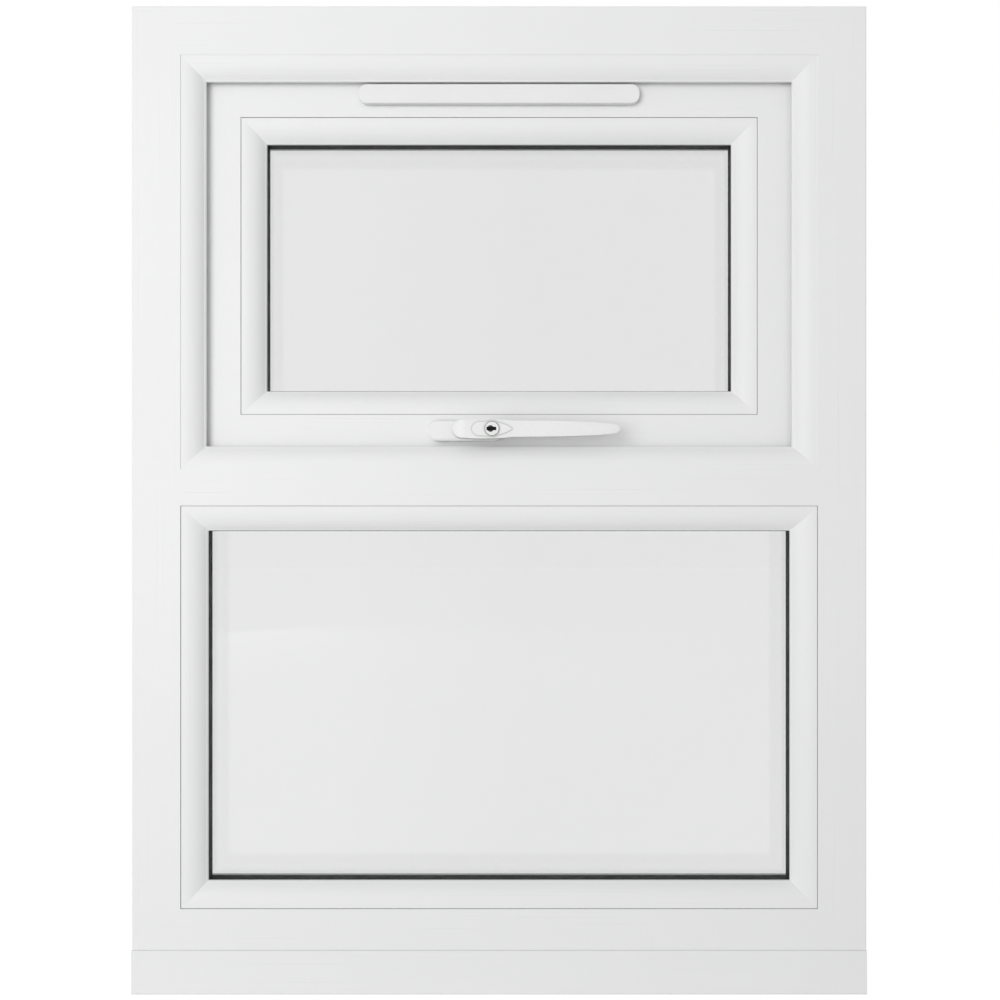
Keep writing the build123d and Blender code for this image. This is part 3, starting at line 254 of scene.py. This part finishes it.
def float_glass(name, painted_light_left_tint, right_tint):
    """Clear float glass: slight waves, painted light as a tone lighter on the left of the pane, and light let
    straight on.
    """
    material, tree, shader = shader_tree(name, 0.0)
    shader.inputs["Transmission Weight"].default_value = 1.0
    shader.inputs["IOR"].default_value = 1.45
    place = stretched_position(tree, (1, 1, 1))
    split = tree.nodes.new("ShaderNodeSeparateXYZ")
    tree.links.new(place, split.inputs["Vector"])
    # Painted light: the pane's tint is lighter towards its left, standing for soft light and reflection there
    across = spread(tree, split.outputs["X"], 0.0, 1.0, -0.14, 0.02)
    tree.links.new(two_colours(tree, across, painted_light_left_tint, right_tint, 0.0, 1.0), shader.inputs["Base Color"])
    waves = noise(tree, place, 9, 1.0)
    raise_grain(tree, shader, waves, 0.00001, 0.1)
    # Shadows and bounced light pass through the pane unbent
    path = tree.nodes.new("ShaderNodeLightPath")
    passing = tree.nodes.new("ShaderNodeMath")
    passing.operation = "MAXIMUM"
    tree.links.new(path.outputs["Is Shadow Ray"], passing.inputs[0])
    tree.links.new(path.outputs["Is Diffuse Ray"], passing.inputs[1])
    clear = tree.nodes.new("ShaderNodeBsdfTransparent")
    clear.inputs["Color"].default_value = shaded(right_tint, 1.06)
    blend = tree.nodes.new("ShaderNodeMixShader")
    tree.links.new(passing.outputs["Value"], blend.inputs["Fac"])
    tree.links.new(shader.outputs["BSDF"], blend.inputs[1])
    tree.links.new(clear.outputs["BSDF"], blend.inputs[2])
    tree.links.new(blend.outputs["Shader"], tree.nodes["Material Output"].inputs["Surface"])
    return material


def brushed_metal(name, light, dark, roughness, stretch, scale=900):
    """Bare metal with a grain drawn one way."""
    material, tree, shader = shader_tree(name, roughness, 1.0)
    grain = noise(tree, stretched_position(tree, stretch), scale, 3.0)
    tree.links.new(two_colours(tree, grain, dark, light), shader.inputs["Base Color"])
    tree.links.new(spread(tree, grain, roughness - 0.06, roughness + 0.08), shader.inputs["Roughness"])
    raise_grain(tree, shader, grain, 0.00001, 0.4)
    return material


def galvanised_metal(name):
    """Hot-dip zinc with its patchwork of crystals."""
    material, tree, shader = shader_tree(name, 0.42, 1.0)
    place = stretched_position(tree, (1, 1, 1))
    crystals = tree.nodes.new("ShaderNodeTexVoronoi")
    crystals.inputs["Scale"].default_value = 160
    tree.links.new(place, crystals.inputs["Vector"])
    tone = two_colours(tree, crystals.outputs["Color"], (0.42, 0.44, 0.46, 1), (0.66, 0.68, 0.7, 1), 0.1, 0.9)
    tree.links.new(tone, shader.inputs["Base Color"])
    sheen = spread(tree, crystals.outputs["Distance"], 0.34, 0.52, 0.0, 0.6)
    tree.links.new(sheen, shader.inputs["Roughness"])
    raise_grain(tree, shader, noise(tree, place, 600, 2.0), 0.00002, 0.3)
    return material


def zinc_plate(name):
    """Bright zinc plate with a cloudy passivated tone."""
    material, tree, shader = shader_tree(name, 0.28, 1.0)
    place = stretched_position(tree, (1, 1, 1))
    clouds = noise(tree, place, 60, 4.0)
    fine = noise(tree, place, 1500, 2.0)
    tone = two_colours(tree, clouds, (0.58, 0.6, 0.66, 1), (0.74, 0.73, 0.68, 1))
    tree.links.new(tone, shader.inputs["Base Color"])
    tree.links.new(spread(tree, clouds, 0.22, 0.36), shader.inputs["Roughness"])
    raise_grain(tree, shader, fine, 0.00001, 0.35)
    return material


def painted_shade_lining(name, first, second, roughness, shine=0.5):
    """Dark, uneven material for pieces that paint the shade inside a lock or in a screw's recess, and for a
    dark joint line.
    """
    material, tree, shader = shader_tree(name, roughness)
    shader.inputs["Specular IOR Level"].default_value = shine
    place = stretched_position(tree, (1, 1, 1))
    dust = noise(tree, place, 900, 4.0)
    tree.links.new(two_colours(tree, dust, first, second), shader.inputs["Base Color"])
    tree.links.new(spread(tree, dust, roughness - 0.08, roughness + 0.08), shader.inputs["Roughness"])
    raise_grain(tree, shader, dust, 0.00001, 0.4)
    return material


along_x = (0.004, 1, 1)
along_z = (1, 1, 0.004)
finishes = {
    "white_plastic": extruded_plastic("white_profile_across", along_x),
    "white_plastic_upright": extruded_plastic("white_profile_upright", along_z),
    "vent_plastic": moulded_plastic("white_vent_moulding", vent_white, 0.38),
    "white_paint": powder_paint("white_powder_coat", paint_white, coat_seam_painted_shade_reach, coat_seam_painted_shade_darkest),
    # A copy of the powder coat with stronger painted shade, for the lever
    "white_paint_painted_shade_lever": powder_paint(
        "white_powder_coat_painted_shade_lever", paint_white, lever_painted_shade_reach, lever_painted_shade_darkest,
    ),
    # The glass's tone: lighter on the left as painted light, its own tint on the right
    "glass": float_glass("clear_glass", (0.885, 0.888, 0.886, 1), (0.873, 0.875, 0.874, 1)),
    "black_rubber": rubber("black_sealing_rubber"),
    "spacer_aluminium": brushed_metal(
        "spacer_bar_metal", (0.8, 0.81, 0.82, 1), (0.7, 0.71, 0.72, 1), 0.42, along_x,
    ),
    "packer_plastic": moulded_plastic("glazing_packer_plastic", (0.09, 0.2, 0.42, 1), 0.45),
    "shoe_plastic": moulded_plastic("stay_shoe_plastic", (0.6, 0.61, 0.6, 1), 0.42),
    "stainless_steel": brushed_metal(
        "brushed_stainless", (0.66, 0.655, 0.64, 1), (0.5, 0.495, 0.485, 1), 0.3, along_z,
    ),
    "screw_steel": zinc_plate("screw_zinc_plate"),
    "galvanised_steel": galvanised_metal("galvanised_reinforcement"),
    "zinc_plated_steel": zinc_plate("lock_zinc_plate"),
    "lock_nickel": brushed_metal(
        "lock_barrel_nickel", (0.86, 0.86, 0.85, 1), (0.78, 0.78, 0.77, 1), 0.2, (1, 1, 1), 300,
    ),
}
# Dark materials that paint shade in the keyway and in the screws' cross recesses; the grey also draws the
# dark joint round the barrel's face
painted_shade_black = painted_shade_lining("recess_painted_shade_black", (0.006, 0.006, 0.006, 1), (0.016, 0.016, 0.017, 1), 0.7, 0.08)
painted_shade_and_joint_grey = painted_shade_lining("keyway_painted_shade_and_joint_grey", (0.04, 0.042, 0.044, 1), (0.075, 0.078, 0.08, 1), 0.5, 0.2)
upright_words = ("jamb", "stile", "_left", "_right")

# Points nearer than this are one
same_point = 0.000002

# Rounded edges: their flats, the degrees by which an edge has to turn to get one, and their widths on the
# pieces whose edges catch the light
round_flats = 3
sharp_edge = 35
edge_rounds = {
    "handle_lever": 0.001,
    "handle_base": 0.0005,
    "vent_flap": 0.0003,
    "vent_canopy": 0.0004,
    "lock_barrel": 0.00012,
    "lock_gearbox": 0.0004,
}


def round_edges(piece, width):
    """Rounds a piece's sharp edges by a width, once its loose triangles are joined."""
    weld = piece.modifiers.new("joined_points", "WELD")
    weld.merge_threshold = same_point
    bevel = piece.modifiers.new("rounded_edges", "BEVEL")
    bevel.width = width
    bevel.segments = round_flats
    bevel.limit_method = "ANGLE"
    bevel.angle_limit = math.radians(sharp_edge)


def dress_cad_nodes():
    """Gives every node of the model the finish of its slot, with the profile's lines along the bar."""
    for row in frame["record"]["subparts"]:
        node = frame["nodes"][row["node"]]
        finish = row["material_slot"]
        if finish == "white_plastic" and any(word in row["node"] for word in upright_words):
            finish = "white_plastic_upright"
        # The lever takes the powder coat with stronger painted shade on its sides and edges
        if row["node"] == "handle_lever":
            finish = "white_paint_painted_shade_lever"
        node.data.materials.clear()
        node.data.materials.append(finishes[finish])
        width = edge_rounds.get(row["node"])
        if width:
            round_edges(node, width)


def new_piece(name, bm, material, body):
    """Puts a built shape into the scene as a piece that rides on a body."""
    bmesh.ops.recalc_face_normals(bm, faces=bm.faces)
    mesh = bpy.data.meshes.new(name)
    bm.to_mesh(mesh)
    bm.free()
    piece = bpy.data.objects.new(name, mesh)
    bpy.context.scene.collection.objects.link(piece)
    piece.data.materials.append(material)
    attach(piece, body)
    return piece


def turned_to_room(centre_x, front, centre_z):
    """Matrix that stands a flat shape up so that it faces the room at a place."""
    return Matrix.Translation((centre_x, front, centre_z)) @ Matrix.Rotation(math.radians(90), 4, "X")


def ring(bm, matrix, radius, thickness, steps=72, sides=10):
    """Round wire ring in its matrix's own X and Y plane."""
    circle = bmesh.ops.create_circle(
        bm, segments=sides, radius=thickness,
        matrix=matrix @ Matrix.Translation((radius, 0, 0)) @ Matrix.Rotation(math.radians(90), 4, "X"),
    )
    edges = list(dict.fromkeys(edge for vert in circle["verts"] for edge in vert.link_edges))
    bmesh.ops.spin(
        bm, geom=circle["verts"] + edges, cent=matrix.translation, axis=matrix.to_3x3() @ Vector((0, 0, 1)),
        angle=math.radians(360), steps=steps, use_merge=True,
    )


def add_lock_details():
    """Dark pieces that paint the shade inside the keyway, and the fine ring round the barrel's face."""
    centre_x, centre_z = lock_centre
    disc_radius = key_circle - painted_shade_play
    bm = bmesh.new()
    # Painted shade: a dark grey disc and a black slit set just inside the keyway
    bmesh.ops.create_cone(
        bm, cap_ends=True, segments=64, radius1=disc_radius, radius2=disc_radius, depth=disc_thickness,
        matrix=turned_to_room(centre_x - key_circle_shift, lock_front + disc_depth, centre_z),
    )
    new_piece("keyway_painted_shade_disc", bm, painted_shade_and_joint_grey, "lock_barrel")
    bm = bmesh.new()
    bmesh.ops.create_cube(
        bm, size=1.0,
        matrix=Matrix.Translation((centre_x - key_slot_shift, lock_front + slit_depth, centre_z))
        @ Matrix.Diagonal((key_slot[0] - 2 * painted_shade_play, slit_thickness, key_slot[1] - 2 * painted_shade_play, 1)),
    )
    new_piece("keyway_painted_shade_slit", bm, painted_shade_black, "lock_barrel")
    bm = bmesh.new()
    ring(bm, turned_to_room(centre_x, lock_front + ring_depth, centre_z), ring_radius, ring_wire)
    new_piece("barrel_ring", bm, painted_shade_and_joint_grey, "lock_barrel")


def separate_shapes(node):
    """The shapes of a node that touch nowhere, each as a list of points."""
    bm = bmesh.new()
    bm.from_mesh(node.data)
    bmesh.ops.remove_doubles(bm, verts=bm.verts, dist=same_point)
    seen = set()
    shapes = []
    for first in bm.verts:
        if first in seen:
            continue
        seen.add(first)
        reached = [first]
        points = []
        while reached:
            vert = reached.pop()
            points.append(node.matrix_world @ vert.co)
            neighbours = [edge.other_vert(vert) for edge in vert.link_edges]
            unseen = [other for other in neighbours if other not in seen]
            seen.update(unseen)
            reached.extend(unseen)
        shapes.append(points)
    bm.free()
    return shapes


def corners(points):
    """The lowest and the highest corner of the box round some points."""
    low = Vector([min(point[side] for point in points) for side in range(3)])
    high = Vector([max(point[side] for point in points) for side in range(3)])
    return low, high


def widest_end(points, axis):
    """A screw's widest end, or the outer of two equal ones: its width, the way it faces and its middle."""
    low, high = corners(points)
    across = (axis + 1) % 3
    ends = []
    for place, way in ((low[axis], -1), (high[axis], 1)):
        end = [point[across] for point in points if abs(point[axis] - place) < screw_end_slack]
        middle = (low + high) / 2
        middle[axis] = place
        ends.append((max(end) - min(end), way, middle))
    return max(ends, key=lambda found: (round(found[0], 4), abs(found[2][axis])))


def add_screw_recesses(node_name, body):
    """Dark crosses set into the face of a node's screw heads, painted shade that stands for their cross
    recesses.
    """
    bm = bmesh.new()
    for points in separate_shapes(frame["nodes"][node_name]):
        low, high = corners(points)
        size = high - low
        # A screw is as wide as it is high across its axis
        axis = min(range(3), key=lambda side: abs(size[(side + 1) % 3] - size[(side + 2) % 3]))
        width, way, middle = widest_end(points, axis)
        middle[axis] -= way * recess_depth * recess_sink
        for turned in (0, 1):
            bar = [width * recess_length, width * recess_width]
            sides = [0, 0, 0]
            sides[axis] = recess_depth
            sides[(axis + 1) % 3] = bar[turned]
            sides[(axis + 2) % 3] = bar[1 - turned]
            place = Matrix.Translation(middle) @ Matrix.Diagonal((*sides, 1))
            bmesh.ops.create_cube(bm, size=1.0, matrix=place)
    # The crosses are dark pieces that paint the recesses' shade
    new_piece(node_name + "_recesses", bm, painted_shade_black, body)


def add_floor():
    """A wide pale floor that shows nearly white with the window's faint shadow, and is plain otherwise."""
    mesh = bpy.data.meshes.new("floor")
    bm = bmesh.new()
    bmesh.ops.create_grid(bm, x_segments=1, y_segments=1, size=floor_reach)
    bmesh.ops.translate(bm, vec=(0, 0, -floor_gap), verts=bm.verts)
    bm.to_mesh(mesh)
    bm.free()
    floor = bpy.data.objects.new("floor", mesh)
    bpy.context.scene.collection.objects.link(floor)
    material, tree, plain = shader_tree("pale_floor", 0.8)
    plain.inputs["Base Color"].default_value = (0.8, 0.8, 0.8, 1)
    seen = tree.nodes.new("ShaderNodeBsdfPrincipled")
    seen.inputs["Base Color"].default_value = (floor_shade, floor_shade, floor_shade, 1)
    seen.inputs["Roughness"].default_value = 1.0
    seen.inputs["Specular IOR Level"].default_value = 0.0
    seen.inputs["Emission Color"].default_value = (1, 1, 1, 1)
    seen.inputs["Emission Strength"].default_value = floor_glow
    blend = tree.nodes.new("ShaderNodeMixShader")
    tree.links.new(seen_ray(tree), blend.inputs["Fac"])
    tree.links.new(plain.outputs["BSDF"], blend.inputs[1])
    tree.links.new(seen.outputs["BSDF"], blend.inputs[2])
    tree.links.new(blend.outputs["Shader"], tree.nodes["Material Output"].inputs["Surface"])
    floor.data.materials.append(material)


def seen_ray(tree):
    """1 for rays of the camera, of mirrors and of glass, and 0 for the rays that light the scene."""
    path = tree.nodes.new("ShaderNodeLightPath")
    first = tree.nodes.new("ShaderNodeMath")
    first.operation = "MAXIMUM"
    tree.links.new(path.outputs["Is Camera Ray"], first.inputs[0])
    tree.links.new(path.outputs["Is Glossy Ray"], first.inputs[1])
    second = tree.nodes.new("ShaderNodeMath")
    second.operation = "MAXIMUM"
    tree.links.new(first.outputs["Value"], second.inputs[0])
    tree.links.new(path.outputs["Is Transmission Ray"], second.inputs[1])
    return second.outputs["Value"]


def light_world():
    """An even grey-white sky that the camera, mirrors and glass see as plain white."""
    world = bpy.data.worlds.new("studio_sky")
    bpy.context.scene.world = world
    world.use_nodes = True
    tree = world.node_tree
    background = tree.nodes["Background"]
    background.inputs["Color"].default_value = (1, 1, 1, 1)
    strength = tree.nodes.new("ShaderNodeMapRange")
    strength.inputs["To Min"].default_value = sky_strength
    strength.inputs["To Max"].default_value = 1.0
    tree.links.new(seen_ray(tree), strength.inputs["Value"])
    # In mirrors the sky is bright in front of the window and dimmer at its sides
    direction = tree.nodes.new("ShaderNodeTexCoord")
    split = tree.nodes.new("ShaderNodeSeparateXYZ")
    tree.links.new(direction.outputs["Generated"], split.inputs["Vector"])
    frontal = tree.nodes.new("ShaderNodeMapRange")
    frontal.inputs["From Min"].default_value = sides_end
    frontal.inputs["From Max"].default_value = front_start
    frontal.inputs["To Min"].default_value = side_sky
    frontal.inputs["To Max"].default_value = 1.0
    tree.links.new(split.outputs["Y"], frontal.inputs["Value"])
    mirrored = tree.nodes.new("ShaderNodeMix")
    mirrored.data_type = "FLOAT"
    mirrored.inputs["A"].default_value = 1.0
    path = tree.nodes.new("ShaderNodeLightPath")
    only_mirrored = tree.nodes.new("ShaderNodeMath")
    only_mirrored.operation = "SUBTRACT"
    only_mirrored.use_clamp = True
    tree.links.new(path.outputs["Is Glossy Ray"], only_mirrored.inputs[0])
    tree.links.new(path.outputs["Is Transmission Ray"], only_mirrored.inputs[1])
    tree.links.new(only_mirrored.outputs["Value"], mirrored.inputs["Factor"])
    tree.links.new(frontal.outputs["Result"], mirrored.inputs["B"])
    total = tree.nodes.new("ShaderNodeMath")
    total.operation = "MULTIPLY"
    tree.links.new(strength.outputs["Result"], total.inputs[0])
    tree.links.new(mirrored.outputs["Result"], total.inputs[1])
    tree.links.new(total.outputs["Value"], background.inputs["Strength"])


def add_softbox(name, place, target, size, power):
    """A square softbox at a place, facing a target, that shows in no mirror and no glass."""
    lamp = bpy.data.lights.new(name, "AREA")
    lamp.shape = "SQUARE"
    lamp.size = size
    lamp.energy = power
    box = bpy.data.objects.new(name, lamp)
    box.location = place
    box.rotation_euler = (Vector(target) - Vector(place)).to_track_quat("-Z", "Y").to_euler()
    box.visible_glossy = False
    box.visible_transmission = False
    bpy.context.scene.collection.objects.link(box)


def add_camera():
    """The camera of the photograph, level and straight on."""
    data = bpy.data.cameras.new("camera")
    data.lens = camera_lens
    data.sensor_width = sensor_width
    camera = bpy.data.objects.new("camera", data)
    camera.location = camera_place
    camera.rotation_euler = (math.radians(90), 0, 0)
    bpy.context.scene.collection.objects.link(camera)
    bpy.context.scene.camera = camera


dress_cad_nodes()
add_lock_details()
add_screw_recesses("frame_screws", "frame")
add_screw_recesses("sash_screws", "sash")
add_floor()
light_world()
add_softbox("key_softbox", key_place, key_target, key_size, key_power)
add_camera()
bpy.context.scene.view_settings.view_transform = "Standard"
